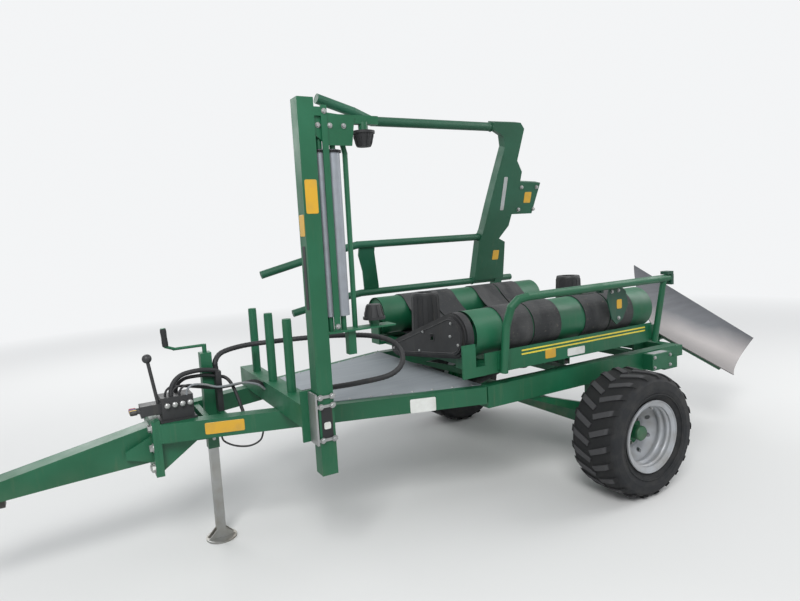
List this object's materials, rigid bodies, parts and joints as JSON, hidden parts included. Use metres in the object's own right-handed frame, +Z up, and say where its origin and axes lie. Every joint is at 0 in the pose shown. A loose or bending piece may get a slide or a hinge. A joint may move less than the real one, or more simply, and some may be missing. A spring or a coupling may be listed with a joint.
{
  "type": "round bale wrapper",
  "caption": "Trailed round bale wrapper: tipping belt turntable with cones and guard rail, side loading arm, film mast and reel rack on an A-frame with a jack.",
  "frame": {"origin": "on the floor, under the middle of the whole machine's box", "axes": "+X forward to the tow eye, +Y to the machine's left, +Z up"},
  "size_m": [5.7453, 2.3034, 2.7003],
  "materials": {
    "green_paint": "semi-gloss",
    "dark_green": "satin",
    "black_steel": "satin",
    "black_plastic": "matt",
    "belt_rubber": "matt",
    "tyre_rubber": "matt",
    "rim_silver": "satin",
    "zinc_steel": "satin",
    "galvanised": "brushed",
    "roller_alu": "satin",
    "hose_rubber": "matt"
  },
  "bodies": {
    "chassis": {"drawbar": "green_paint", "tow_eye": "black_steel", "a_frame": "green_paint", "chassis_rails": "green_paint", "axle": "green_paint", "jack_tube": "green_paint", "rack_beam": "green_paint", "reel_posts": "green_paint", "mast_clamp": "zinc_steel", "valve_block": "black_steel", "loader_lugs": "green_paint", "chute": "galvanised", "chute_frame": "green_paint", "rear_box": "green_paint", "deck": "galvanised", "hose_loop": "hose_rubber"},
    "wheel_left": {"tyre_left": "tyre_rubber", "rim_left": "rim_silver"},
    "wheel_right": {"tyre_right": "tyre_rubber", "rim_right": "rim_silver"},
    "jack_leg": {"jack_leg": "zinc_steel"},
    "film_mast": {"mast": "green_paint", "film_frame": "green_paint"},
    "film_roller_large": {"film_roller_large": "roller_alu"},
    "film_roller_small": {"film_roller_small": "roller_alu"},
    "reel_cone_low": {"reel_cone_low": "black_plastic"},
    "reel_cone_top": {"reel_cone_top": "black_plastic"},
    "tip_frame": {"tip_frame": "green_paint", "slew_ring": "zinc_steel", "table_motor": "black_steel"},
    "turntable": {"table_frame": "green_paint", "belts_front": "belt_rubber", "belts_rear": "belt_rubber", "chain_guard": "black_plastic", "guard_rail": "green_paint", "film_cutter": "dark_green"},
    "roller_left": {"roller_left": "green_paint"},
    "roller_right": {"roller_right": "green_paint"},
    "cone_front": {"cone_front": "black_plastic"},
    "cone_rear": {"cone_rear": "black_plastic"},
    "loader": {"loader_arm": "green_paint", "fork_outer": "green_paint", "fork_inner": "green_paint", "fork_low": "green_paint"},
    "loader_barrel": {"loader_barrel": "black_steel"},
    "loader_rod": {"loader_rod": "zinc_steel"},
    "tip_barrel": {"tip_barrel": "black_steel"},
    "tip_rod": {"tip_rod": "zinc_steel"}
  },
  "joints": [
    {"name": "wheel_left_spin", "type": "hinge", "parent": "chassis", "child": "wheel_left", "pos_m": [-0.8823, 0.9842, 0.385], "axis": [0, 1, 0], "continuous": true},
    {"name": "wheel_right_spin", "type": "hinge", "parent": "chassis", "child": "wheel_right", "pos_m": [-0.8823, -0.9278, 0.385], "axis": [0, 1, 0], "continuous": true},
    {"name": "jack_slide", "type": "slide", "parent": "chassis", "child": "jack_leg", "axis": [0, 0, 1], "range_m": [0, 0.36]},
    {"name": "mast_slide", "type": "slide", "parent": "chassis", "child": "film_mast", "axis": [0, 0, 1], "range_m": [-0.2, 0.12]},
    {"name": "film_roller_large_spin", "type": "hinge", "parent": "film_mast", "child": "film_roller_large", "pos_m": [0.9307, 0.7732, 1.6], "axis": [0, 0, 1], "continuous": true},
    {"name": "film_roller_small_spin", "type": "hinge", "parent": "film_mast", "child": "film_roller_small", "pos_m": [0.9977, 0.7732, 1.6], "axis": [0, 0, 1], "continuous": true},
    {"name": "reel_cone_low_spin", "type": "hinge", "parent": "film_mast", "child": "reel_cone_low", "pos_m": [0.7627, 0.7732, 1.3], "axis": [0, 0, 1], "continuous": true},
    {"name": "reel_cone_top_spin", "type": "hinge", "parent": "film_mast", "child": "reel_cone_top", "pos_m": [0.7627, 0.7732, 2.15], "axis": [0, 0, 1], "continuous": true},
    {"name": "table_tip", "type": "hinge", "parent": "chassis", "child": "tip_frame", "pos_m": [-1.6383, 0.0282, 0.806], "axis": [0, -1, 0], "range_deg": [0, 30]},
    {"name": "table_turn", "type": "hinge", "parent": "tip_frame", "child": "turntable", "pos_m": [-0.6693, 0.0282, 0.85], "axis": [0, 0, 1], "continuous": true},
    {"name": "roller_left_spin", "type": "hinge", "parent": "turntable", "child": "roller_left", "pos_m": [-0.6693, 0.5782, 1.071], "axis": [1, 0, 0], "continuous": true},
    {"name": "roller_right_spin", "type": "hinge", "parent": "turntable", "child": "roller_right", "pos_m": [-0.6693, -0.5218, 1.071], "axis": [1, 0, 0], "continuous": true},
    {"name": "cone_front_spin", "type": "hinge", "parent": "turntable", "child": "cone_front", "pos_m": [-0.0093, 0.0282, 1.1], "axis": [0, 0, 1], "continuous": true},
    {"name": "cone_rear_spin", "type": "hinge", "parent": "turntable", "child": "cone_rear", "pos_m": [-1.3293, 0.0282, 1.1], "axis": [0, 0, 1], "continuous": true},
    {"name": "loader_lower", "type": "hinge", "parent": "chassis", "child": "loader", "pos_m": [-1.5223, -0.8718, 0.6], "axis": [1, 0, 0], "range_deg": [0, 105]},
    {"name": "loader_barrel_swing", "type": "hinge", "parent": "chassis", "child": "loader_barrel", "pos_m": [-1.5223, -0.2218, 0.52], "axis": [1, 0, 0], "range_deg": [-17.01, 0.5]},
    {"name": "loader_rod_slide", "type": "slide", "parent": "loader_barrel", "child": "loader_rod", "axis": [0, -0.9902, -0.1395], "range_m": [-0.25238, 0.002]},
    {"name": "tip_barrel_swing", "type": "hinge", "parent": "chassis", "child": "tip_barrel", "pos_m": [-0.2023, 0.0282, 0.545], "axis": [0, 1, 0], "range_deg": [-0.5, 18.45]},
    {"name": "tip_rod_slide", "type": "slide", "parent": "tip_barrel", "child": "tip_rod", "axis": [-0.9665, 0, 0.2565], "range_m": [-0.002, 0.19556]}
  ],
  "couplings": [
    {"joint": "roller_right_spin", "follows": "roller_left_spin", "ratio": 1},
    {"joint": "loader_barrel_swing", "follows": "loader_lower", "ratio": -0.15726},
    {"joint": "loader_rod_slide", "follows": "loader_lower", "m_per_rad": -0.13662},
    {"joint": "tip_barrel_swing", "follows": "table_tip", "ratio": 0.59842},
    {"joint": "tip_rod_slide", "follows": "table_tip", "m_per_rad": 0.36966}
  ]
}
